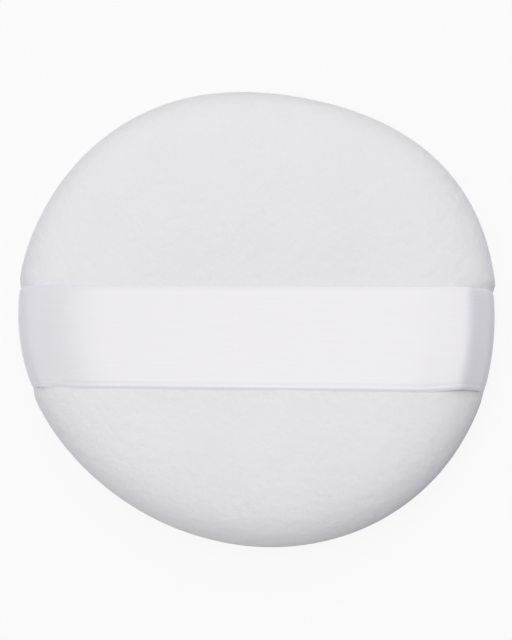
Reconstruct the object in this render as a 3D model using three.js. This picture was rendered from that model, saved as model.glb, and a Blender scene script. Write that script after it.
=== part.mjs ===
import * as THREE from 'three'

// A round powder puff: two velour covers sewn together round a foam pad, with a satin ribbon
// across the grip side to slide the fingers under. Sizes are in millimetres and +Z is up.
// The puff lies on its powder side, and the ribbon runs along X.

// Rim, seen from above: a hand-sewn round with a few slow waves in it
const RIM_DIAMETER = 59
const RIM_WAVES = [
  { lobes: 2, share: 0.0286, peak: -12 },
  { lobes: 3, share: 0.0104, peak: 40 },
  { lobes: 4, share: 0.0089, peak: 33 },
]

// Filled pad, seen from the side: heights on each side of the seam, and how square its shoulder is
const SEAM_HEIGHT = 5
const GRIP_RISE = 6
const SHOULDER_POWER = 6
const REST_ANGLE = 15

// Velour covers: the pile and its knitted backing, and the edge turned in at the seam
const COVER_THICKNESS = 0.8
const SEAM_ALLOWANCE = 3
const SEAM_CLEARANCE = 0.1

// Satin ribbon: a half-inch width, sewn a little off the middle and not quite square
const RIBBON_WIDTH = 13
const RIBBON_THICKNESS = 0.35
const RIBBON_CENTRE_Y = -3.2
const RIBBON_SLOPE = -0.008
const RIBBON_TAIL = 2.6
const RIBBON_PULL = 0.3
const SPAN_HALF = 22
const PULL_FADE = 2.5

// Sewing thread, its overlock stitches and the hand stitches that close the turning gap
const THREAD_DIAMETER = 0.3
const OVERLOCK_BITE = 1.4
const OVERLOCK_STITCHES = 40
const TURNING_GAP_MIDDLE = 90
const TURNING_GAP_ANGLE = 30
const CLOSING_STITCHES = 9
const CLOSING_OUTER = 0.7
const CLOSING_INNER = 2.1

// Room left between pieces that lie on each other
const FIT_CLEARANCE = 0.3

// Fineness of the faceted surfaces
const ROUND_STEPS = 60
const SHOULDER_STEPS = 8
const SPAN_STEPS = 14
const END_STEPS = 8
const WIDTH_STEPS = 6
const THREAD_SIDES = 4

// Sizes that follow from the ones above
const RIM_RADIUS = RIM_DIAMETER / 2
const LIP_HEIGHT = RIBBON_THICKNESS / 2 + SEAM_CLEARANCE
const RIBBON_LIFT = FIT_CLEARANCE + RIBBON_THICKNESS / 2
const RIM_PULL = FIT_CLEARANCE + RIBBON_THICKNESS + RIBBON_PULL
const THREAD_HEIGHT = LIP_HEIGHT + COVER_THICKNESS + FIT_CLEARANCE + THREAD_DIAMETER / 2
const THREAD_EDGE = RIM_RADIUS - SEAM_ALLOWANCE - FIT_CLEARANCE - THREAD_DIAMETER / 2
const QUARTER_TURN = Math.PI / 2
const DEGREE = Math.PI / 180

// Radius of the rim in one direction, drawn in where the ribbon goes over it
function rimRadius(turn) {
  let radius = RIM_RADIUS
  for (const wave of RIM_WAVES) {
    radius += RIM_RADIUS * wave.share * Math.cos(wave.lobes * (turn - wave.peak * DEGREE))
  }
  const aside = Math.abs(radius * Math.sin(turn) - RIBBON_CENTRE_Y)
  const halfWidth = RIBBON_WIDTH / 2
  const free = THREE.MathUtils.smoothstep(aside, halfWidth, halfWidth + PULL_FADE)
  return radius - RIM_PULL * (1 - free)
}

// Share of the radius at a shoulder angle: 0 in the middle of the pad, 1 at the rim
function shareAt(angle) {
  return Math.sin(angle) ** (2 / SHOULDER_POWER)
}

// Shoulder angles from the middle to an end angle, starting after a flat middle
function shoulderAngles(flat, end) {
  const angles = flat > 0 ? [0, flat] : [0]
  for (let step = 1; step <= SHOULDER_STEPS; step += 1) {
    angles.push(THREE.MathUtils.lerp(flat, end, step / SHOULDER_STEPS))
  }
  return angles
}

// Domed line from the middle of the pad to its shoulder, over a base height
function domeLine(radius, base, rise, flat, end) {
  return shoulderAngles(flat, end).map((angle) => {
    const height = Math.min(1, Math.cos(angle) / Math.cos(flat))
    return new THREE.Vector2(radius * shareAt(angle), base + rise * height)
  })
}

// Section of one cover: the lining side, the lip turned in at the seam, then the pile side
function coverSection(rise, flat) {
  const lipTop = LIP_HEIGHT + COVER_THICKNESS
  const lipEdge = RIM_RADIUS - SEAM_ALLOWANCE
  const innerRise = rise - LIP_HEIGHT - 2 * COVER_THICKNESS
  const inner = domeLine(RIM_RADIUS - COVER_THICKNESS, lipTop, innerRise, flat, QUARTER_TURN)
  const outer = domeLine(RIM_RADIUS, LIP_HEIGHT, rise - LIP_HEIGHT, flat, QUARTER_TURN)
  const lip = [new THREE.Vector2(lipEdge, lipTop), new THREE.Vector2(lipEdge, LIP_HEIGHT)]
  return [...inner, ...lip, ...outer.reverse()]
}

// Half of the foam section, clear of the cover and ending above the seam's lips and thread
function foamSection(rise, flat) {
  const base = LIP_HEIGHT + COVER_THICKNESS - FIT_CLEARANCE
  const foamRise = rise - LIP_HEIGHT - 2 * COVER_THICKNESS
  const grooveTop = THREAD_HEIGHT + THREAD_DIAMETER / 2 + FIT_CLEARANCE
  const end = Math.acos(((grooveTop - base) / foamRise) * Math.cos(flat))
  const radius = RIM_RADIUS - COVER_THICKNESS - FIT_CLEARANCE
  const grooveFloor = THREAD_EDGE - THREAD_DIAMETER / 2 - FIT_CLEARANCE
  const dome = domeLine(radius, base, foamRise, flat, end)
  return [...dome, new THREE.Vector2(grooveFloor, grooveTop)]
}

// Heights of a section turned over, so that they run down from the seam
function turnedOver(section) {
  return section.map((point) => new THREE.Vector2(point.x, -point.y)).reverse()
}

// Solid turned from a section, then eased out to the waves of the rim
function turnedPad(section) {
  const geometry = new THREE.LatheGeometry(section, ROUND_STEPS)
  geometry.rotateX(QUARTER_TURN)
  const place = geometry.attributes.position
  for (let i = 0; i < place.count; i += 1) {
    const scale = rimRadius(Math.atan2(place.getY(i), place.getX(i))) / RIM_RADIUS
    place.setXY(i, place.getX(i) * scale, place.getY(i) * scale)
  }
  geometry.translate(0, 0, SEAM_HEIGHT)
  return geometry
}

// Line across the pad that a thread of the ribbon follows, at a distance from its middle thread
function ribbonY(x, aside) {
  return RIBBON_CENTRE_Y + RIBBON_SLOPE * x + aside
}

// Height of the grip cover's pile side above a point of the plan
function gripHeight(x, y) {
  const share = Math.hypot(x, y) / rimRadius(Math.atan2(y, x))
  const dome = Math.sqrt(1 - Math.min(1, share) ** SHOULDER_POWER)
  return SEAM_HEIGHT + LIP_HEIGHT + (GRIP_RISE - LIP_HEIGHT) * dome
}

// Distance from the middle at which a ribbon thread reaches a share of the radius on one side
function reachOf(side, aside, share) {
  let reach = RIM_RADIUS * share
  for (let round = 0; round < 8; round += 1) {
    const y = ribbonY(side * reach, aside)
    const radius = share * rimRadius(Math.atan2(y, side * reach))
    reach = Math.sqrt(radius * radius - y * y)
  }
  return reach
}

// Line moved sideways by a distance, with square corners kept square
function movedAside(line, distance) {
  const normals = line.slice(1).map((point, i) => {
    const along = point.clone().sub(line[i]).normalize()
    return new THREE.Vector2(-along.y, along.x)
  })
  return line.map((point, i) => {
    const before = normals[Math.max(i - 1, 0)]
    const after = normals[Math.min(i, normals.length - 1)]
    const mitre = before.clone().add(after).divideScalar(1 + before.dot(after))
    return point.clone().addScaledVector(mitre, distance)
  })
}

// Middle of the ribbon across the pad
function spanLine(aside) {
  const surface = []
  for (let step = 0; step <= SPAN_STEPS; step += 1) {
    const x = THREE.MathUtils.lerp(-SPAN_HALF, SPAN_HALF, step / SPAN_STEPS)
    surface.push(new THREE.Vector2(x, gripHeight(x, ribbonY(x, aside))))
  }
  return movedAside(surface, RIBBON_LIFT)
}

// Middle of one ribbon end, from the span over the shoulder and down, then in between the lips
function endLine(side, aside) {
  const start = SPAN_HALF + FIT_CLEARANCE
  const startY = ribbonY(side * start, aside)
  const startShare = Math.hypot(start, startY) / rimRadius(Math.atan2(startY, side * start))
  const startAngle = Math.asin(startShare ** (SHOULDER_POWER / 2))
  const surface = []
  for (let step = 0; step <= END_STEPS; step += 1) {
    const angle = THREE.MathUtils.lerp(startAngle, QUARTER_TURN, step / END_STEPS)
    const height = LIP_HEIGHT + (GRIP_RISE - LIP_HEIGHT) * Math.cos(angle)
    surface.push(new THREE.Vector2(reachOf(side, aside, shareAt(angle)), SEAM_HEIGHT + height))
  }
  const middle = movedAside(surface, RIBBON_LIFT)
  const corner = new THREE.Vector2(middle[END_STEPS].x, SEAM_HEIGHT)
  const tail = new THREE.Vector2(reachOf(side, aside, 1 - RIBBON_TAIL / RIM_RADIUS), SEAM_HEIGHT)
  return [...middle, corner, tail]
}

// Length of ribbon with its threads laid along the lines given for each distance aside
function ribbonPiece(side, lineOf) {
  const lines = []
  for (let thread = 0; thread <= WIDTH_STEPS; thread += 1) {
    const aside = RIBBON_WIDTH * (thread / WIDTH_STEPS - 1 / 2)
    const middle = lineOf(aside)
    const upper = movedAside(middle, RIBBON_THICKNESS / 2)
    const lower = movedAside(middle, -RIBBON_THICKNESS / 2)
    lines.push({ aside, upper, lower })
  }
  const steps = lines[0].upper.length - 1
  const geometry = new THREE.BoxGeometry(1, 1, 1, steps, WIDTH_STEPS, 1)
  const place = geometry.attributes.position
  for (let i = 0; i < place.count; i += 1) {
    const along = Math.round((side * place.getX(i) + 1 / 2) * steps)
    const thread = lines[Math.round((place.getY(i) + 1 / 2) * WIDTH_STEPS)]
    const point = (place.getZ(i) > 0 ? thread.upper : thread.lower)[along]
    place.setXYZ(i, side * point.x, ribbonY(side * point.x, thread.aside), point.y)
  }
  return geometry
}

// Point on a stitch, by its direction, its distance from the middle of a round rim and its height
function stitchPoint(turn, distance, height) {
  const radius = distance * (rimRadius(turn) / RIM_RADIUS)
  return new THREE.Vector3(radius * Math.cos(turn), radius * Math.sin(turn), SEAM_HEIGHT + height)
}

// Run of straight stitches from point to point
class StitchRun extends THREE.Curve {
  constructor(points) {
    super()
    this.points = points
  }

  getPoint(share) {
    const along = share * (this.points.length - 1)
    const first = Math.min(Math.floor(along), this.points.length - 2)
    return this.points[first].clone().lerp(this.points[first + 1], along - first)
  }

  getUtoTmapping(share) {
    return share
  }
}

// Thread laid along a run of stitches
function threadAlong(points) {
  const section = new THREE.Shape()
  section.absarc(0, 0, THREAD_DIAMETER / 2, 0, 2 * Math.PI)
  return new THREE.ExtrudeGeometry(section, {
    steps: points.length - 1,
    curveSegments: THREAD_SIDES / 2,
    extrudePath: new StitchRun(points),
  })
}

// Overlock stitches: over one lip, round both raw edges, under the other lip and back
function overlockPoints() {
  const bite = RIM_RADIUS - SEAM_ALLOWANCE + OVERLOCK_BITE
  const stitch = [
    [bite, THREAD_HEIGHT],
    [THREAD_EDGE, THREAD_HEIGHT],
    [THREAD_EDGE, -THREAD_HEIGHT],
    [bite, -THREAD_HEIGHT],
    [THREAD_EDGE, -THREAD_HEIGHT],
    [THREAD_EDGE, THREAD_HEIGHT],
  ]
  const start = (TURNING_GAP_MIDDLE + TURNING_GAP_ANGLE / 2) * DEGREE
  const sweep = (360 - TURNING_GAP_ANGLE) * DEGREE
  const count = OVERLOCK_STITCHES * stitch.length
  return Array.from({ length: count + 1 }, (_, i) => {
    const [distance, height] = stitch[i % stitch.length]
    return stitchPoint(start + (sweep * i) / count, distance, height)
  })
}

// Closing stitches: a ladder worked to and fro between the folded edges of the turning gap
function closingPoints() {
  const start = (TURNING_GAP_MIDDLE - TURNING_GAP_ANGLE / 2) * DEGREE
  const count = 2 * CLOSING_STITCHES
  return Array.from({ length: count + 1 }, (_, i) => {
    const inset = i % 2 === 0 ? CLOSING_OUTER : CLOSING_INNER
    const turn = start + (TURNING_GAP_ANGLE * DEGREE * (i + 1 / 2)) / (count + 1)
    return stitchPoint(turn, RIM_RADIUS - inset, 0)
  })
}

const velour = { color: 0xe6e5e6, roughness: 0.95, metalness: 0 }
const foam = { color: 0xf1ecdc, roughness: 0.9, metalness: 0 }
const satin = { color: 0xf2f1f4, roughness: 0.45, metalness: 0 }
const thread = { color: 0xf0eff0, roughness: 0.6, metalness: 0 }

const puff = new THREE.Group()
puff.name = 'powder_puff'

function addPiece(name, geometry, material) {
  const piece = new THREE.Mesh(geometry, new THREE.MeshStandardMaterial(material))
  piece.name = name
  puff.add(piece)
}

const restAngle = REST_ANGLE * DEGREE
const foamLoop = [...foamSection(GRIP_RISE, 0), ...turnedOver(foamSection(SEAM_HEIGHT, restAngle))]
addPiece('foam_core', turnedPad(foamLoop.reverse()), foam)
addPiece('grip_cover', turnedPad(coverSection(GRIP_RISE, 0)), velour)
addPiece('powder_cover', turnedPad(turnedOver(coverSection(SEAM_HEIGHT, restAngle))), velour)
addPiece('ribbon_span', ribbonPiece(1, spanLine), satin)
addPiece('ribbon_end_left', ribbonPiece(-1, (aside) => endLine(-1, aside)), satin)
addPiece('ribbon_end_right', ribbonPiece(1, (aside) => endLine(1, aside)), satin)
addPiece('seam_overlock_thread', threadAlong(overlockPoints()), thread)
addPiece('closing_thread', threadAlong(closingPoints()), thread)

// The frame's origin is under the middle of the whole puff
const middle = new THREE.Box3().setFromObject(puff).getCenter(new THREE.Vector3())
for (const piece of puff.children) {
  piece.geometry.translate(-middle.x, -middle.y, 0)
}

export default puff
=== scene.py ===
# %% [markdown]
# # A round powder puff
# This lesson dresses a finished CAD model of a powder puff: a foam pad in two velour covers, with a satin
# ribbon across the grip side. The CAD model stays as the fixed frame. Each soft solid in it is replaced by a
# modelled piece that sits in the same place, so the puff keeps its size. Its one moving part is the ribbon,
# which lifts to let the fingers under it; here the ribbon is modelled at rest and tied to no body.

# %% Load the frame
import functools
import math

import bmesh
import bpy
from mathutils import Matrix, Vector, noise


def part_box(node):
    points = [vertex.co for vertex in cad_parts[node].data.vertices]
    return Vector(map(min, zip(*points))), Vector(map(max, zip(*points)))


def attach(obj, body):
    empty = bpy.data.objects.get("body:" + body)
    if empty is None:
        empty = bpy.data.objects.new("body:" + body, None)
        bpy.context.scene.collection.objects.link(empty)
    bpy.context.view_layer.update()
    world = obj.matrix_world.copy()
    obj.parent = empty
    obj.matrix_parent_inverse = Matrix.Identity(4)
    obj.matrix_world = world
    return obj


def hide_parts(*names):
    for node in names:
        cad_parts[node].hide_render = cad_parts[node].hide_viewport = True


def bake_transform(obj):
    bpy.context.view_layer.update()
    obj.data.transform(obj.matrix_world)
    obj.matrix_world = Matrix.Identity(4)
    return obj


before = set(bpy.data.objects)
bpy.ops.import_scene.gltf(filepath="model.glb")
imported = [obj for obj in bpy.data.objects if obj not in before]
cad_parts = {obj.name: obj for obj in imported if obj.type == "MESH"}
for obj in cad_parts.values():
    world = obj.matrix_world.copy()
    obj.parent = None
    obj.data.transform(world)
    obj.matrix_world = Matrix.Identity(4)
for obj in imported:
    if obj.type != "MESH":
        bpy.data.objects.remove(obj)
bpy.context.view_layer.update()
print("nodes:", sorted(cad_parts))

# %% [markdown]
# ## Small helpers
# Colours are written as sRGB hex values, the way a colour picker shows them, but shaders work in linear
# light. One function does that change. A second one adds any shader node with its settings, its plain values
# and its links, so a material reads as a list of what it is made of.

# %% Colours and nodes
MM = 0.001


def linear(hex_colour):
    channels = [int(hex_colour[i:i + 2], 16) / 255 for i in (1, 3, 5)]
    return [c / 12.92 if c <= 0.04045 else ((c + 0.055) / 1.055) ** 2.4 for c in channels] + [1.0]


def add_node(tree, kind, settings=None, values=None, links=None):
    node = tree.nodes.new(kind)
    for name, value in (settings or {}).items():
        setattr(node, name, value)
    for name, value in (values or {}).items():
        node.inputs[name].default_value = value
    for name, socket in (links or {}).items():
        tree.links.new(socket, node.inputs[name])
    return node


def new_material(name):
    material = bpy.data.materials.new(name)
    material.use_nodes = True
    material.node_tree.nodes.clear()
    return material, material.node_tree


print("white paper, linear:", [round(c, 3) for c in linear("#F5F5F5")[:3]])

# %% [markdown]
# ## Camera
# The photo looks almost straight down on the grip side, from a little towards the lower right, where a band
# of the side shows. A long lens keeps the round nearly free of perspective, as in a product picture. The
# distance follows from one measured number: how many picture points one millimetre of the rim takes up. The
# camera is turned so that the picture's right is the frame's +X, which keeps the ribbon level.

# %% Camera
PICTURE_HEIGHT = 640
POINTS_PER_MM = 7.97
CAMERA_LENS = 150.0
CAMERA_SENSOR = 36.0
CAMERA_AZIMUTH = math.radians(-45.0)
CAMERA_ELEVATION = math.radians(80.0)
CAMERA_TARGET = Vector((0.15, -0.25, 5.0)) * MM

view_height = PICTURE_HEIGHT / POINTS_PER_MM * MM
distance = CAMERA_LENS / CAMERA_SENSOR * view_height


def direction(azimuth, elevation):
    level = math.cos(elevation)
    return Vector((level * math.cos(azimuth), level * math.sin(azimuth), math.sin(elevation)))


backward = direction(CAMERA_AZIMUTH, CAMERA_ELEVATION)
upward = backward.cross(Vector((1, 0, 0))).normalized()
rightward = upward.cross(backward)

camera = bpy.data.objects.new("Camera", bpy.data.cameras.new("Camera"))
camera.data.lens = CAMERA_LENS
camera.data.sensor_width = CAMERA_SENSOR
camera.location = CAMERA_TARGET + distance * backward
camera.rotation_euler = Matrix((rightward, upward, backward)).transposed().to_euler()
bpy.context.scene.collection.objects.link(camera)
bpy.context.scene.camera = camera
print("camera distance in mm:", round(distance / MM))

# %% [markdown]
# ## The rim
# A sewn puff is never a true circle. Seen from above, this one is a circle with a few slow waves in it. The
# ribbon draws the rim in a little where it goes over the edge, at the right end more by its upper corner, and
# its own ends are gathered up a little in the seam, the lower edge by about half a millimetre. The waves are
# those of the CAD source, refined against the photo, so the pieces made here land where the CAD solids are to
# within a few tenths of a millimetre. Each wave below is its number of lobes, its share of the radius and the
# angle of a peak in degrees.

# %% Where the ribbon lies
RIBBON_WIDTH = 13.0 * MM
RIBBON_CENTRE_Y = -3.5 * MM
RIBBON_SLOPE = -0.008
# how far the ends are gathered up, where along the ribbon that begins and is full, and its share at the
# middle thread and from edge to edge
RISE_LEFT = 0.35 * MM
RISE_RIGHT = 0.55 * MM
RISE_REACH = (20.5 * MM, 27.0 * MM)
RISE_MIDDLE = 0.65
RISE_SLANT = 0.7


def smoothstep(value, low, high):
    share = min(max((value - low) / (high - low), 0.0), 1.0)
    return share * share * (3.0 - 2.0 * share)


def ribbon_y(x, aside):
    rise = (RISE_RIGHT if x > 0 else RISE_LEFT) * smoothstep(abs(x), *RISE_REACH)
    rise *= RISE_MIDDLE - RISE_SLANT * aside / RIBBON_WIDTH
    return RIBBON_CENTRE_Y + RIBBON_SLOPE * x + rise + aside


def under_ribbon(x, y, fade):
    aside = abs(y - ribbon_y(x, 0.0))
    return 1.0 - smoothstep(aside, RIBBON_WIDTH / 2, RIBBON_WIDTH / 2 + fade)


ribbon_ends = [ribbon_y(side * RISE_REACH[1], 0.0) for side in (-1, 1)]
print("middle of the ribbon towards its ends, mm:", [round(y / MM, 2) for y in ribbon_ends])

# %% Rim outline
SEAM_HEIGHT = 5.0 * MM
RIM_RADIUS = 29.5 * MM
RIM_WAVES = ((2, 0.0327, -15.4), (3, 0.0104, 40.0), (4, 0.0077, 30.5), (5, 0.0042, -33.0))
# how far the ends draw the rim in, how much more from the lower to the upper corner, and how it fades out
PULL_LEFT = 0.4 * MM
PULL_RIGHT = 0.28 * MM
PULL_SLANT = 0.36 * MM
PULL_FADE = 0.8 * MM


def rim_pull(x, y):
    pull = PULL_LEFT
    if x > 0:
        pull = PULL_RIGHT + PULL_SLANT * (y - ribbon_y(x, 0.0)) / RIBBON_WIDTH
    return pull * under_ribbon(x, y, PULL_FADE)


def rim_radius(turn):
    waves = sum(share * math.cos(lobes * (turn - math.radians(peak))) for lobes, share, peak in RIM_WAVES)
    radius = RIM_RADIUS * (1.0 + waves)
    x, y = radius * math.cos(turn), radius * math.sin(turn)
    return radius - rim_pull(x, y)


outline = [(rim_radius(math.radians(a)), math.radians(a)) for a in range(360)]
outline_x = [r * math.cos(a) for r, a in outline]
outline_y = [r * math.sin(a) for r, a in outline]
rim_box = [max(outline_x) - min(outline_x), max(outline_y) - min(outline_y)]
print("rim, mm:", [round(v / MM, 2) for v in rim_box])

# %% Middle of the rim in the frame
low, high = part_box("grip_cover")
middle = Vector((
    (low.x + high.x - min(outline_x) - max(outline_x)) / 2,
    (low.y + high.y - min(outline_y) - max(outline_y)) / 2,
    0.0,
))
print("middle of the waves in the frame, mm:", [round(v / MM, 2) for v in middle])

# %% [markdown]
# ## Piece maker
# Every piece ends the same way: its mesh is moved to its place in the frame, shaded smooth, given its finish
# and tied to the body it moves with, if it has one, and the CAD solids it replaces are hidden.

# %% Piece maker
def make_piece(name, bm, material, body, slot, *nodes):
    bmesh.ops.translate(bm, verts=bm.verts, vec=middle)
    mesh = bpy.data.meshes.new(name)
    bm.to_mesh(mesh)
    bm.free()
    mesh.shade_smooth()
    mesh.materials.append(material)
    piece = bpy.data.objects.new(name, mesh)
    bpy.context.scene.collection.objects.link(piece)
    if body:
        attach(piece, body)
    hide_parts(*nodes)
    print(name, "has", len(mesh.polygons), "faces")
    return piece


# %% [markdown]
# ## The pad's form
# The filled pad has a flat middle and a round shoulder, like a low pill. Its section is a line of points from
# the top middle over the shoulder to the seam and on to the bottom middle, and the spin operator turns that
# line into a closed round. The points sit closer together near the seam, where the cloth turns in sharply.
# Then each point moves out to the waves of the rim.

# %% Section of the pad
GRIP_RISE = 6.0 * MM
SHOULDER_POWER = 8
REST_ANGLE = math.radians(15.0)
SEAM_DEPTH = 0.7 * MM
SEAM_REACH = 0.8 * MM
SECTION_POINTS = 34
SECTION_CROWDING = 1.5
FINE_POINTS = 600


def shoulder_share(angle, height):
    tuck = SEAM_DEPTH * math.exp(-((height / SEAM_REACH) ** 2))
    return math.sin(angle) ** (2 / SHOULDER_POWER) - tuck / RIM_RADIUS


def half_section(rise, flat):
    angles = [math.pi / 2 * i / FINE_POINTS for i in range(FINE_POINTS + 1)]
    heights = [rise * min(1.0, math.cos(angle) / math.cos(flat)) for angle in angles]
    shares = [shoulder_share(angle, height) for angle, height in zip(angles, heights)]
    widen = 1.0 / max(shares)
    line = [Vector((RIM_RADIUS * widen * share, 0, height)) for share, height in zip(shares, heights)]
    line[0].x = 0.0
    lengths = [0.0]
    for before, after in zip(line, line[1:]):
        lengths.append(lengths[-1] + (after - before).length)
    points = []
    for step in range(SECTION_POINTS + 1):
        wanted = lengths[-1] * (1.0 - (1.0 - step / SECTION_POINTS) ** SECTION_CROWDING)
        points.append(line[min(range(FINE_POINTS + 1), key=lambda i: abs(lengths[i] - wanted))])
    return points, widen


grip_half, grip_widen = half_section(GRIP_RISE, 0.0)
powder_half = half_section(SEAM_HEIGHT, REST_ANGLE)[0]
grip_length = sum((b - a).length for a, b in zip(grip_half, grip_half[1:]))
print("section over the grip side, mm:", round(grip_length / MM, 1), "widened by", round(grip_widen, 4))

# %% Turned pad
ROUND_STEPS = 240
TOUCHING = 0.001 * MM


def turned_round(section, steps):
    bm = bmesh.new()
    corners = [bm.verts.new(p) for p in section]
    edges = [bm.edges.new(pair) for pair in zip(corners, corners[1:])]
    bmesh.ops.spin(bm, geom=corners + edges, cent=(0, 0, 0), axis=(0, 0, 1), angle=2 * math.pi,
                   steps=steps, use_merge=True)
    bmesh.ops.remove_doubles(bm, verts=bm.verts, dist=TOUCHING)
    bmesh.ops.recalc_face_normals(bm, faces=bm.faces)
    for vert in bm.verts:
        scale = rim_radius(math.atan2(vert.co.y, vert.co.x)) / RIM_RADIUS
        vert.co.x *= scale
        vert.co.y *= scale
    return bm


pad_section = [p + Vector((0, 0, SEAM_HEIGHT)) for p in grip_half]
pad_section += [Vector((p.x, 0, SEAM_HEIGHT - p.z)) for p in reversed(powder_half[:-1])]
pad = turned_round(pad_section, ROUND_STEPS)
print("pad form:", len(pad.verts), "points,", len(pad.faces), "faces")

# %% [markdown]
# ## Filling the covers
# The covers are cloth held by the seam and by the tight ribbon, and pushed out by the foam. A cloth
# simulation gives that fullness and the small gathers along the seam, which are hard to draw by hand. Cloth
# settings are made for things the size of a cushion, so the puff is enlarged for the simulation and brought
# back after it. The seam and the strip under the ribbon are pinned, and no point may move far. The cloth is
# a little too long close to the seam, as on any round that is turned right side out, and this makes the
# gathers.

# %% Cloth form and its weights
SIM_SCALE = 10.0
SEAM_TOUCH = 0.02 * MM
GATHER_REACH = 2.4 * MM

form_mesh = bpy.data.meshes.new("pad form")
pad.to_mesh(form_mesh)
pad.free()
form_mesh.transform(((SIM_SCALE, 0, 0, 0), (0, SIM_SCALE, 0, 0), (0, 0, SIM_SCALE, 0), (0, 0, 0, 1)))
form = bpy.data.objects.new("pad form", form_mesh)
bpy.context.scene.collection.objects.link(form)

pins = form.vertex_groups.new(name="held")
gathers = form.vertex_groups.new(name="gathered")
for vert in form_mesh.vertices:
    place = vert.co / SIM_SCALE
    above = abs(place.z - SEAM_HEIGHT)
    at_rim = place.xy.length > RIM_RADIUS / 2
    pressed = under_ribbon(place.x, place.y, PULL_FADE) if place.z > SEAM_HEIGHT else 0.0
    pins.add([vert.index], 1.0 if at_rim and above < SEAM_TOUCH else pressed, "REPLACE")
    gathers.add([vert.index], 1.0 - smoothstep(above, 0.0, GATHER_REACH) if at_rim else 0.0, "REPLACE")
print("cloth form:", len(form_mesh.vertices), "points")

# %% Cloth simulation
SIM_FRAMES = 20
SIM_LIMIT = 0.25 * MM
QUIET_REACH = 10.0 * MM
SIM_PRESSURE = 0.4
GATHER_LENGTH = 0.05

cloth = form.modifiers.new("filling", "CLOTH")
cloth.settings.quality = 5
cloth.settings.mass = 0.3
cloth.settings.tension_stiffness = 15.0
cloth.settings.compression_stiffness = 15.0
cloth.settings.shear_stiffness = 5.0
cloth.settings.bending_stiffness = 0.5
cloth.settings.vertex_group_mass = pins.name
cloth.settings.vertex_group_shrink = gathers.name
cloth.settings.shrink_min = 0.0
cloth.settings.shrink_max = -GATHER_LENGTH
cloth.settings.use_pressure = True
cloth.settings.uniform_pressure_force = SIM_PRESSURE
cloth.settings.effector_weights.gravity = 0.0
cloth.point_cache.frame_end = SIM_FRAMES
for frame_number in range(1, SIM_FRAMES + 1):
    bpy.context.scene.frame_set(frame_number)
filled = form.evaluated_get(bpy.context.evaluated_depsgraph_get())
places = [v.co.copy() for v in filled.data.vertices]
form.modifiers.remove(cloth)
bpy.context.scene.frame_set(1)
moves = []
for vert, place in zip(form_mesh.vertices, places):
    move = place - vert.co
    moves.append(move.length / SIM_SCALE)
    if move.length > SIM_LIMIT * SIM_SCALE:
        move *= SIM_LIMIT * SIM_SCALE / move.length
    x, y, z = vert.co / SIM_SCALE
    high_up = smoothstep(z, SEAM_HEIGHT + GATHER_REACH, SEAM_HEIGHT + GRIP_RISE)
    vert.co += move * (1.0 - under_ribbon(x, y, QUIET_REACH) * high_up)
moved = [sum(moves) / len(moves), max(moves)]
print("cloth moved by, mean and most, mm:", [round(v / MM, 3) for v in moved])

# %% [markdown]
# ## Two covers from one form
# One subdivision makes the simulated form smooth. The outline is then eased back to the measured rim, because
# the filling pushes it out by different amounts, and the underside is kept flat where it rests. Cutting the
# form along its seam gives the two covers, and a Solidify modifier gives each one the thickness of the cloth.

# %% Smooth form
smooth = form.modifiers.new("smooth", "SUBSURF")
smooth.levels = smooth.render_levels = 1
smooth.use_limit_surface = False
finished = bpy.data.meshes.new_from_object(form.evaluated_get(bpy.context.evaluated_depsgraph_get()))
pad = bmesh.new()
pad.from_mesh(finished)
bmesh.ops.scale(pad, verts=pad.verts, vec=(1 / SIM_SCALE,) * 3)
bpy.data.objects.remove(form)

SECTORS = 2 * ROUND_STEPS
SECTOR_REACH = 5


def sector_of(vert):
    return round(math.atan2(vert.co.y, vert.co.x) / (2 * math.pi) * SECTORS) % SECTORS


widest = [0.0] * SECTORS
for vert in pad.verts:
    widest[sector_of(vert)] = max(widest[sector_of(vert)], vert.co.xy.length)
ratios = [rim_radius(2 * math.pi * i / SECTORS) / widest[i] for i in range(SECTORS)]
window = range(-SECTOR_REACH, SECTOR_REACH + 1)
eased = [sum(ratios[(i + k) % SECTORS] for k in window) / len(window) for i in range(SECTORS)]
for vert in pad.verts:
    ratio = eased[sector_of(vert)]
    vert.co = Vector((vert.co.x * ratio, vert.co.y * ratio, max(vert.co.z, 0.0)))
print("smooth form:", len(pad.verts), "points")
print("rim eased by", round(min(eased), 4), "to", round(max(eased), 4))

# %% [markdown]
# ## Velour
# The covers are cut-pile polyester velour: a knitted backing with short upright fibres. The fibres scatter
# light, so the cloth is very rough, with a soft sheen at grazing angles, and the tips make a fine grain. Real
# tufts are about 0.2 mm wide; they are drawn at 0.4 mm here so that they show. The tufts also lean together
# in clumps about a millimetre wide, which hardly show where light falls straight on the cloth and mottle it
# where light falls aslant, near the rim. Wide, faint patches stand for the nap lying a little this way and
# that.

# %% Velour finish
TUFT = 0.4 * MM
TUFT_HEIGHT = 0.06 * MM
CLUMP = 1.3 * MM
CLUMP_HEIGHT = 0.25 * MM
NAP_PATCH = 9.0 * MM

velour, tree = new_material("cut-pile velour")
place = add_node(tree, "ShaderNodeTexCoord").outputs["Object"]
tufts = add_node(tree, "ShaderNodeTexNoise", values={"Scale": 1 / TUFT, "Detail": 2.0, "Roughness": 0.6},
                 links={"Vector": place})
clumps = add_node(tree, "ShaderNodeTexNoise", values={"Scale": 1 / CLUMP, "Detail": 2.0},
                  links={"Vector": place})
patches = add_node(tree, "ShaderNodeTexNoise", values={"Scale": 1 / NAP_PATCH, "Detail": 1.0},
                   links={"Vector": place})
tone = add_node(tree, "ShaderNodeValToRGB", links={"Fac": patches.outputs["Fac"]})
tone.color_ramp.elements[0].position = 0.3
tone.color_ramp.elements[0].color = linear("#E5E5E6")
tone.color_ramp.elements[1].position = 0.7
tone.color_ramp.elements[1].color = linear("#E7E7E8")
grain = add_node(tree, "ShaderNodeBump", values={"Strength": 0.5, "Distance": TUFT_HEIGHT},
                 links={"Height": tufts.outputs["Fac"]})
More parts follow.
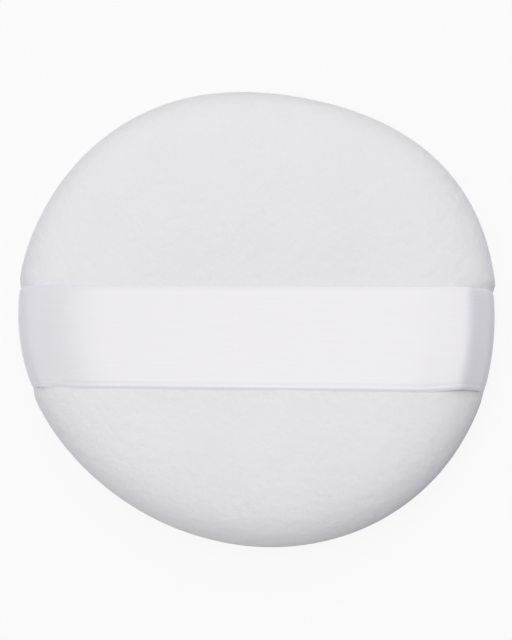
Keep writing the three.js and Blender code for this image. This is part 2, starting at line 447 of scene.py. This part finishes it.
lean = add_node(tree, "ShaderNodeBump", values={"Strength": 0.6, "Distance": CLUMP_HEIGHT},
                links={"Height": clumps.outputs["Fac"], "Normal": grain.outputs["Normal"]})
pile = add_node(tree, "ShaderNodeBsdfPrincipled",
                values={"Roughness": 0.95, "Specular IOR Level": 0.2,
                        "Sheen Weight": 0.6, "Sheen Roughness": 0.4},
                links={"Base Color": tone.outputs["Color"], "Normal": lean.outputs["Normal"]})
add_node(tree, "ShaderNodeOutputMaterial", links={"Surface": pile.outputs["BSDF"]})
print("tufts to a millimetre:", round(MM / TUFT, 1))

# %% Covers
COVER_THICKNESS = 0.6 * MM


def cover(name, keep_top, node):
    bm = pad.copy()
    geom = bm.verts[:] + bm.edges[:] + bm.faces[:]
    bmesh.ops.bisect_plane(bm, geom=geom, dist=TOUCHING, plane_co=(0, 0, SEAM_HEIGHT), plane_no=(0, 0, 1),
                           clear_inner=keep_top, clear_outer=not keep_top)
    piece = make_piece(name, bm, velour, "pad", "velour", node)
    wall = piece.modifiers.new("cloth thickness", "SOLIDIFY")
    wall.thickness = COVER_THICKNESS
    wall.offset = -1.0


cover("velour_grip_cover", True, "grip_cover")
cover("velour_powder_cover", False, "powder_cover")
pad.free()

# %% [markdown]
# ## Foam core
# Inside is a round of soft foam. It only shows if a cover is taken off, so it stays simple: the same kind of
# section as the pad, a little smaller, with a groove round its edge where the seam allowance lies.

# %% Foam finish
FOAM_CELL = 0.6 * MM
CELL_DEPTH = 0.2 * MM

foam, tree = new_material("open-cell polyurethane foam")
place = add_node(tree, "ShaderNodeTexCoord").outputs["Object"]
cells = add_node(tree, "ShaderNodeTexVoronoi", values={"Scale": 1 / FOAM_CELL}, links={"Vector": place})
tone = add_node(tree, "ShaderNodeValToRGB", links={"Fac": cells.outputs["Distance"]})
tone.color_ramp.elements[0].color = linear("#E2DBC6")
tone.color_ramp.elements[1].color = linear("#F3EEDF")
holes = add_node(tree, "ShaderNodeBump", values={"Strength": 0.6, "Distance": CELL_DEPTH},
                 links={"Height": cells.outputs["Distance"]})
sponge = add_node(tree, "ShaderNodeBsdfPrincipled", values={"Roughness": 0.9},
                  links={"Base Color": tone.outputs["Color"], "Normal": holes.outputs["Normal"]})
add_node(tree, "ShaderNodeOutputMaterial", links={"Surface": sponge.outputs["BSDF"]})
print("foam cells to a centimetre:", round(10 * MM / FOAM_CELL))

# %% Foam core
FOAM_INSET = 1.1 * MM
FOAM_GROOVE_HALF = 1.75 * MM
FOAM_GROOVE_DEPTH = 3.9 * MM
FOAM_LIP = 0.5 * MM
FOAM_STRIDE = 3
FOAM_STEPS = 96

least = FOAM_GROOVE_HALF + FOAM_INSET
top = [(p.x - FOAM_INSET, p.z - FOAM_INSET) for p in grip_half[::FOAM_STRIDE] if p.z > least]
bottom = [(p.x - FOAM_INSET, FOAM_INSET - p.z) for p in powder_half[::FOAM_STRIDE] if p.z > least]
groove_wall = RIM_RADIUS - FOAM_GROOVE_DEPTH
groove = [(groove_wall, FOAM_GROOVE_HALF), (groove_wall, -FOAM_GROOVE_HALF)]
foam_section = top + [(top[-1][0] + FOAM_LIP, FOAM_GROOVE_HALF)] + groove
foam_section += [(bottom[-1][0] + FOAM_LIP, -FOAM_GROOVE_HALF)] + bottom[::-1]
core = turned_round([Vector((max(r, 0.0), 0, SEAM_HEIGHT + z)) for r, z in foam_section], FOAM_STEPS)
foam_core = make_piece("foam_core_round", core, foam, "pad", "foam", "foam_core")

# %% [markdown]
# ## The ribbon's path
# The ribbon is one strip of half-inch satin. It lies across the grip side, bends over the shoulder at each
# end and turns in between the covers at the seam. Each lengthwise thread of it follows its own line over the
# pad, because the rim is round and the threads near its edges reach the seam sooner. The satin is too stiff
# to follow the shoulder closely: it leaves the pad early, runs nearly straight, folds down towards the rim
# and drops from there to the seam. The fold is a sharp crease at the right end and a round bend at the left.
# A line is a list of points seen from the side, moved out from the pad by half the ribbon's thickness and a
# small gap.

# %% Height of the ribbon over the pad
REACH_ROUNDS = 10


def share_of(x, y):
    return math.hypot(x, y) / rim_radius(math.atan2(y, x))


def reach_of(side, aside):
    reach = RIM_RADIUS
    for _ in range(REACH_ROUNDS):
        y = ribbon_y(side * reach, aside)
        reach = math.sqrt(rim_radius(math.atan2(y, side * reach)) ** 2 - y * y)
    return reach


def pad_height(x, aside):
    share = min(share_of(x, ribbon_y(x, aside)), 1.0) / grip_widen
    return GRIP_RISE * math.sqrt(1.0 - share ** SHOULDER_POWER)


reaches = [reach_of(side, 0.0) for side in (-1, 1)]
print("ribbon's reach to the left and right, mm:", [round(reach / MM, 2) for reach in reaches])

# %% Folds at the ribbon's ends
# for the left and the right end: how far from the rim the ribbon folds, how far it stands clear of the pad
# there, its height over the seam at the rim, and how round the fold is
FOLD_AT = {-1: 1.3 * MM, 1: 2.4 * MM}
FOLD_CLEAR = {-1: 0.7 * MM, 1: 0.8 * MM}
RIM_HEIGHT = {-1: 2.8 * MM, 1: 3.0 * MM}
FOLD_ROUND = {-1: 0.6 * MM, 1: 0.35 * MM}
RIM_INSET = 0.4 * MM
RIM_STEEPNESS = 6.0
RUN_STEP = 0.25 * MM
RUN_STEPS = 60


@functools.cache
def straight_run(side, aside):
    reach = reach_of(side, aside)
    fold = pad_height(side * (reach - FOLD_AT[side]), aside) + FOLD_CLEAR[side]
    slopes = []
    for step in range(1, RUN_STEPS):
        run = step * RUN_STEP
        rise = pad_height(side * (reach - FOLD_AT[side] - run), aside) - fold
        slopes.append((rise / run, run))
    return reach, fold, *max(slopes)


def ribbon_height(x, aside):
    side = 1 if x > 0 else -1
    folds, rim = FOLD_AT[side], RIM_HEIGHT[side]
    reach, fold, slope, run = straight_run(side, aside)
    inward = reach - abs(x)
    if inward > folds + run:
        return pad_height(x, aside)
    straight = fold + slope * (inward - folds)
    facet = rim + (fold - rim) * (inward - RIM_INSET) / (folds - RIM_INSET)
    folded = (straight + facet - math.hypot(straight - facet, FOLD_ROUND[side])) / 2
    return max(pad_height(x, aside), min(folded, rim + RIM_STEEPNESS * (inward - RIM_INSET)))


for side in FOLD_AT:
    leaves = FOLD_AT[side] + straight_run(side, 0.0)[-1]
    print("ribbon leaves the pad", round(leaves / MM, 2), "mm from the rim")

# %% [markdown]
# ## The ribbon's edges
# A woven selvedge closes each long edge. Just inside the lower one the satin dips and comes up again in a
# narrow step, which draws a fine line along the ribbon; the upper one shows only a trace of it. The last
# threads of both edges roll down into the pile of the velour.

# %% Relief across the ribbon
SELVEDGE_LOWER = 0.62 * MM
SELVEDGE_UPPER = 0.5 * MM
DIP_LOWER = 0.04 * MM
DIP_UPPER = 0.012 * MM
DIP_REACH = 0.5 * MM
STEP_REACH = 0.2 * MM
EDGE_ROLL = 0.18 * MM
ROLL_REACH = 0.75 * MM


def relief(aside):
    edge = RIBBON_WIDTH / 2 - abs(aside)
    border, depth = (SELVEDGE_LOWER, DIP_LOWER) if aside < 0 else (SELVEDGE_UPPER, DIP_UPPER)
    step = smoothstep(edge, border - STEP_REACH, border)
    dip = step * (1.0 - smoothstep(edge, border, border + DIP_REACH))
    return -depth * dip - EDGE_ROLL * (1.0 - min(edge / ROLL_REACH, 1.0)) ** 2


edge_relief = [relief(side * RIBBON_WIDTH / 2) for side in (-1, 1)]
print("relief at the ribbon's edges, mm:", [round(v / MM, 3) for v in edge_relief])

# %% Bends over the shoulders
TURN_HEIGHT = 0.5 * MM
LEVEL_HALF = 18.0 * MM
BEND_STEPS = 40
DROP_STEPS = 5


def bend_points(side, aside):
    reach = reach_of(side, aside)
    points = []
    for step in range(1, BEND_STEPS + 1):
        x = side * (LEVEL_HALF + (reach - LEVEL_HALF) * math.sin(math.pi / 2 * step / BEND_STEPS))
        points.append(Vector((x, SEAM_HEIGHT + ribbon_height(x, aside))))
    rim_height = ribbon_height(side * reach, aside)
    for step in range(1, DROP_STEPS + 1):
        height = rim_height + (TURN_HEIGHT - rim_height) * step / DROP_STEPS
        points.append(Vector((side * reach, SEAM_HEIGHT + height)))
    return points


print("points in one bend:", len(bend_points(1, 0.0)))

# %% Ribbon lines
RIBBON_THICKNESS = 0.16 * MM
RIBBON_GAP = 0.08 * MM
RIBBON_TAIL = 1.6 * MM
# the turn into the seam, inwards and up, in shares of its height
TURN_POINTS = ((0.5, 0.0), (0.15, 0.2))
LEVEL_STEPS = 24


def moved_aside(line, by):
    normals = [(b - a).normalized() for a, b in zip(line, line[1:])]
    normals = [Vector((-n.y, n.x)) for n in normals]
    moved = []
    for i, point in enumerate(line):
        before, after = normals[max(i - 1, 0)], normals[min(i, len(normals) - 1)]
        moved.append(point + by * (before + after) / (1.0 + before.dot(after)))
    return moved


def ribbon_line(aside):
    across = [LEVEL_HALF * (2 * i / LEVEL_STEPS - 1) for i in range(LEVEL_STEPS + 1)]
    level = [Vector((x, SEAM_HEIGHT + ribbon_height(x, aside))) for x in across]
    line = bend_points(-1, aside)[::-1] + level + bend_points(1, aside)
    line = moved_aside(line, RIBBON_GAP + RIBBON_THICKNESS / 2 + relief(aside))
    left, right = line[0].x, line[-1].x
    turned = [(RIBBON_TAIL, 0.0)] + [(inward * TURN_HEIGHT, up * TURN_HEIGHT) for inward, up in TURN_POINTS]
    into_left = [Vector((left + along, SEAM_HEIGHT + up)) for along, up in turned]
    into_right = [Vector((right - along, SEAM_HEIGHT + up)) for along, up in reversed(turned)]
    return into_left + line + into_right


middle_line = ribbon_line(0.0)
ribbon_length = sum((b - a).length for a, b in zip(middle_line, middle_line[1:]))
print("ribbon cut length, mm:", round(ribbon_length / MM, 1))

# %% [markdown]
# ## Satin
# The strip is polyester satin ribbon: long floats of fine warp thread run along it, which gives the smooth,
# slightly glossy face, and a firm woven selvedge closes each edge. The floats lie side by side, so the shine
# spreads across the strip more than along it. Warp threads are about 0.1 mm apart; they are drawn at 0.25 mm
# so that they show. The pattern follows the strip's own UV map, in which the length runs along U and the
# width along V.

# %% Satin finish
WARP_SPACING = 0.25 * MM
WARP_HEIGHT = 0.01 * MM
FLOAT_LENGTH = 7.0 * MM

satin, tree = new_material("polyester satin ribbon")
strip = add_node(tree, "ShaderNodeUVMap", settings={"uv_map": "strip"}).outputs["UV"]
warp_place = add_node(tree, "ShaderNodeMapping",
                      values={"Scale": (ribbon_length / FLOAT_LENGTH, RIBBON_WIDTH / WARP_SPACING, 1.0)},
                      links={"Vector": strip})
warp = add_node(tree, "ShaderNodeTexNoise", values={"Scale": 1.0, "Detail": 1.0},
                links={"Vector": warp_place.outputs["Vector"]})
tone = add_node(tree, "ShaderNodeValToRGB", links={"Fac": warp.outputs["Fac"]})
tone.color_ramp.elements[0].position = 0.25
tone.color_ramp.elements[0].color = linear("#E2E1E5")
tone.color_ramp.elements[1].position = 0.75
tone.color_ramp.elements[1].color = linear("#E4E3E7")
threads = add_node(tree, "ShaderNodeBump", values={"Strength": 0.05, "Distance": WARP_HEIGHT},
                   links={"Height": warp.outputs["Fac"]})
lengthwise = add_node(tree, "ShaderNodeTangent", settings={"direction_type": "UV_MAP", "uv_map": "strip"})
face = add_node(tree, "ShaderNodeBsdfPrincipled",
                values={"Roughness": 0.35, "IOR": 1.6, "Anisotropic": 0.5, "Anisotropic Rotation": 0.25},
                links={"Base Color": tone.outputs["Color"], "Normal": threads.outputs["Normal"],
                       "Tangent": lengthwise.outputs["Tangent"]})
add_node(tree, "ShaderNodeOutputMaterial", links={"Surface": face.outputs["BSDF"]})
print("warp threads drawn across the ribbon:", round(RIBBON_WIDTH / WARP_SPACING))

# %% [markdown]
# ## The strip
# A grid becomes the strip: one direction runs along the ribbon, the other across it. The rows crowd towards
# the two long edges, because that is where the fine shapes are. Each point then moves to its place on its own
# line, and a faint waver keeps the satin from looking like a ruled surface.

# %% Along and across the strip
def crowded(across):
    return 0.5 * math.sin(math.pi * across)


def point_along(line, share):
    lengths = [(b - a).length for a, b in zip(line, line[1:])]
    wanted = share * sum(lengths)
    for a, b, length in zip(line, line[1:], lengths):
        if wanted <= length:
            return a.lerp(b, wanted / length)
        wanted -= length
    return line[-1].copy()


print("middle of the ribbon, mm:", [round(v / MM, 2) for v in point_along(middle_line, 0.5)])

# %% Ribbon strip
STRIP_STEPS = 300
STRIP_THREADS = 96
LEVEL_FADE = (17.0 * MM, 25.0 * MM)
WAVER = 0.04 * MM
WAVER_LENGTH = 9.0 * MM
WAVER_PLACE = 3.7

strip_mesh = bmesh.new()
strip_map = strip_mesh.loops.layers.uv.new("strip")
bmesh.ops.create_grid(strip_mesh, x_segments=STRIP_STEPS, y_segments=STRIP_THREADS, size=0.5)
for strip_face in strip_mesh.faces:
    for corner in strip_face.loops:
        corner[strip_map].uv = (corner.vert.co.x + 0.5, crowded(corner.vert.co.y) + 0.5)

lines = {}
for vert in strip_mesh.verts:
    share, aside = vert.co.x + 0.5, crowded(vert.co.y) * RIBBON_WIDTH
    key = round(vert.co.y, 4)
    if key not in lines:
        lines[key] = ribbon_line(aside)
    point = point_along(lines[key], share)
    level = 1.0 - smoothstep(abs(point.x), *LEVEL_FADE)
    waver = WAVER * noise.noise((point.x / WAVER_LENGTH, aside / WAVER_LENGTH, WAVER_PLACE))
    vert.co = Vector((point.x, ribbon_y(point.x, aside), point.y + level * waver))
bmesh.ops.recalc_face_normals(strip_mesh, faces=strip_mesh.faces)
if sum(f.normal.z for f in strip_mesh.faces) < 0:
    bmesh.ops.reverse_faces(strip_mesh, faces=strip_mesh.faces)
bmesh.ops.solidify(strip_mesh, geom=strip_mesh.faces[:], thickness=RIBBON_THICKNESS)

ribbon = make_piece("satin_ribbon", strip_mesh, satin, None, "satin_ribbon",
                    "ribbon_span", "ribbon_end_left", "ribbon_end_right")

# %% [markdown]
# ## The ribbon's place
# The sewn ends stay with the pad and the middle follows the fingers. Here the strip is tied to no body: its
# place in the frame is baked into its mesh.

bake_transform(ribbon)

# %% [markdown]
# ## Threads
# Two threads hold the puff together. The overlock runs round the turned-in edges inside the rim, and a short
# ladder of hand stitches closes the gap at the back through which the foam went in. Both are curves with a
# round section that follow the same run of stitches as the CAD solids.

# %% Thread finish
TWIST = 0.25 * MM
PLY_HEIGHT = 0.05 * MM

thread, tree = new_material("spun polyester sewing thread")
place = add_node(tree, "ShaderNodeTexCoord").outputs["Object"]
twist = add_node(tree, "ShaderNodeTexNoise", values={"Scale": 1 / TWIST, "Detail": 1.0},
                 links={"Vector": place})
tone = add_node(tree, "ShaderNodeValToRGB", links={"Fac": twist.outputs["Fac"]})
tone.color_ramp.elements[0].color = linear("#E6E6E8")
tone.color_ramp.elements[1].color = linear("#F4F4F5")
ply = add_node(tree, "ShaderNodeBump", values={"Strength": 0.4, "Distance": PLY_HEIGHT},
               links={"Height": twist.outputs["Fac"]})
yarn = add_node(tree, "ShaderNodeBsdfPrincipled", values={"Roughness": 0.6, "Sheen Weight": 0.2},
                links={"Base Color": tone.outputs["Color"], "Normal": ply.outputs["Normal"]})
add_node(tree, "ShaderNodeOutputMaterial", links={"Surface": yarn.outputs["BSDF"]})
print("twists of the thread to a millimetre:", round(MM / TWIST))

# %% Sewn thread
THREAD_RADIUS = 0.15 * MM


def stitch_point(turn, radius, height):
    radius *= rim_radius(turn) / RIM_RADIUS
    return middle + Vector((radius * math.cos(turn), radius * math.sin(turn), SEAM_HEIGHT + height))


def sewn(name, points, node):
    run = bpy.data.curves.new(name, "CURVE")
    run.dimensions = "3D"
    run.bevel_depth = THREAD_RADIUS
    run.bevel_resolution = 2
    run.use_fill_caps = True
    spline = run.splines.new("POLY")
    spline.points.add(len(points) - 1)
    for point, place in zip(spline.points, points):
        point.co = (*place, 1.0)
    run.materials.append(thread)
    piece = bpy.data.objects.new(name, run)
    bpy.context.scene.collection.objects.link(piece)
    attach(piece, "pad")
    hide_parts(node)
    length = sum((b - a).length for a, b in zip(points, points[1:]))
    print(name, "has", len(points), "points and is", round(length / MM), "mm long")


# %% Overlock round the raw edges
LIP_EDGE = RIM_RADIUS - 3.0 * MM
OVERLOCK_INNER = LIP_EDGE - 0.45 * MM
OVERLOCK_OUTER = LIP_EDGE + 1.4 * MM
OVERLOCK_HALF = 1.525 * MM
OVERLOCK_BEND = 0.5 * MM
OVERLOCK_STITCHES = 40
STITCH_STEPS = 24
GAP_MIDDLE = math.radians(90.0)
GAP_ANGLE = math.radians(30.0)

leg = [Vector((OVERLOCK_OUTER, OVERLOCK_HALF)), Vector((OVERLOCK_INNER + OVERLOCK_BEND, OVERLOCK_HALF)),
       Vector((OVERLOCK_INNER, OVERLOCK_HALF - OVERLOCK_BEND))]
stitch = leg + [Vector((p.x, -p.y)) for p in reversed(leg)]
count = OVERLOCK_STITCHES * STITCH_STEPS
run = []
for i in range(count + 1):
    there_and_back = (1.0 - math.cos(2 * math.pi * i / STITCH_STEPS)) / 2
    turn = GAP_MIDDLE + GAP_ANGLE / 2 + (2 * math.pi - GAP_ANGLE) * i / count
    run.append(stitch_point(turn, *point_along(stitch, there_and_back)))
sewn("overlock_thread", run, "seam_overlock_thread")

# %% Ladder stitches that close the gap
CLOSING_STITCHES = 9
CLOSING_STEPS = 12
CLOSING_OUTER = RIM_RADIUS - 0.7 * MM
CLOSING_INNER = RIM_RADIUS - 2.1 * MM

count = CLOSING_STITCHES * CLOSING_STEPS
run = []
for i in range(count + 1):
    inward = (1.0 - math.cos(2 * math.pi * i / CLOSING_STEPS)) / 2
    turn = GAP_MIDDLE - GAP_ANGLE / 2 + GAP_ANGLE * (i + 0.5) / (count + 1)
    run.append(stitch_point(turn, CLOSING_OUTER + inward * (CLOSING_INNER - CLOSING_OUTER), 0.0))
sewn("ladder_stitch_thread", run, "closing_thread")

# %% [markdown]
# ## Floor and light
# The photo is a product picture: white all round, with soft light from overhead and from the upper side, so
# that only the lower right of the rim is in shade. One large round lamp stands nearly overhead and gives the
# satin its shine, a weaker one lights the upper side and a faint one the left. They are a trace warm, and a
# pale, cool world fills the shade, which turns the ribbon's steep ends a little lavender. The floor is pale
# paper. What the camera sees of it is mostly plain white, mixed with some of its own shaded surface, so that
# a soft shadow stays under the puff.

# %% Floor
FLOOR_HALF = 10.0
FLOOR_DROP = 0.02 * MM
FLOOR_WHITE = 0.9

paper, tree = new_material("white paper sweep")
ray = add_node(tree, "ShaderNodeLightPath").outputs
seen = add_node(tree, "ShaderNodeMath", settings={"operation": "MAXIMUM"},
                links={0: ray["Is Camera Ray"], 1: ray["Is Glossy Ray"]})
seen_too = add_node(tree, "ShaderNodeMath", settings={"operation": "MAXIMUM"},
                    links={0: seen.outputs[0], 1: ray["Is Transmission Ray"]})
amount = add_node(tree, "ShaderNodeMath", settings={"operation": "MULTIPLY"}, values={1: FLOOR_WHITE},
                  links={0: seen_too.outputs[0]})
shaded = add_node(tree, "ShaderNodeBsdfDiffuse", values={"Color": linear("#CDCDCF")})
white = add_node(tree, "ShaderNodeEmission", values={"Strength": 1.0})
mix = add_node(tree, "ShaderNodeMixShader",
               links={0: amount.outputs[0], 1: shaded.outputs["BSDF"], 2: white.outputs["Emission"]})
add_node(tree, "ShaderNodeOutputMaterial", links={"Surface": mix.outputs["Shader"]})

floor_mesh = bmesh.new()
bmesh.ops.create_grid(floor_mesh, x_segments=1, y_segments=1, size=FLOOR_HALF)
floor_data = bpy.data.meshes.new("floor")
floor_mesh.to_mesh(floor_data)
floor_mesh.free()
floor_data.materials.append(paper)
floor = bpy.data.objects.new("floor", floor_data)
floor.location.z = -FLOOR_DROP
bpy.context.scene.collection.objects.link(floor)
print("floor is", 2 * FLOOR_HALF, "m wide and", round(FLOOR_DROP / MM, 2), "mm below the puff")

# %% Lights
LAMP_SIZE = 0.7
LAMP_DISTANCE = 0.86
LAMP_COLOUR = "#FFFDF8"
# each lamp's name, azimuth and elevation in degrees, and power in watts
LAMPS = (
    ("top lamp", 110.0, 86.0, 4.25),
    ("upper lamp", 76.0, 42.0, 2.3),
    ("left lamp", 215.0, 25.0, 1.0),
)
FILL_COLOUR = "#E9ECFF"
FILL_STRENGTH = 0.3

for name, azimuth, elevation, power in LAMPS:
    toward = direction(math.radians(azimuth), math.radians(elevation))
    lamp = bpy.data.objects.new(name, bpy.data.lights.new(name, "AREA"))
    lamp.data.shape = "DISK"
    lamp.data.size = LAMP_SIZE
    lamp.data.energy = power
    lamp.data.color = linear(LAMP_COLOUR)[:3]
    lamp.location = LAMP_DISTANCE * toward
    lamp.rotation_euler = toward.to_track_quat("Z", "Y").to_euler()
    bpy.context.scene.collection.objects.link(lamp)

world = bpy.data.worlds.new("pale room")
world.use_nodes = True
sky = world.node_tree.nodes["Background"]
sky.inputs["Color"].default_value = linear(FILL_COLOUR)
sky.inputs["Strength"].default_value = FILL_STRENGTH
bpy.context.scene.world = world
bpy.context.scene.view_settings.view_transform = "Standard"
print("lamps:", [name for name, *_ in LAMPS])
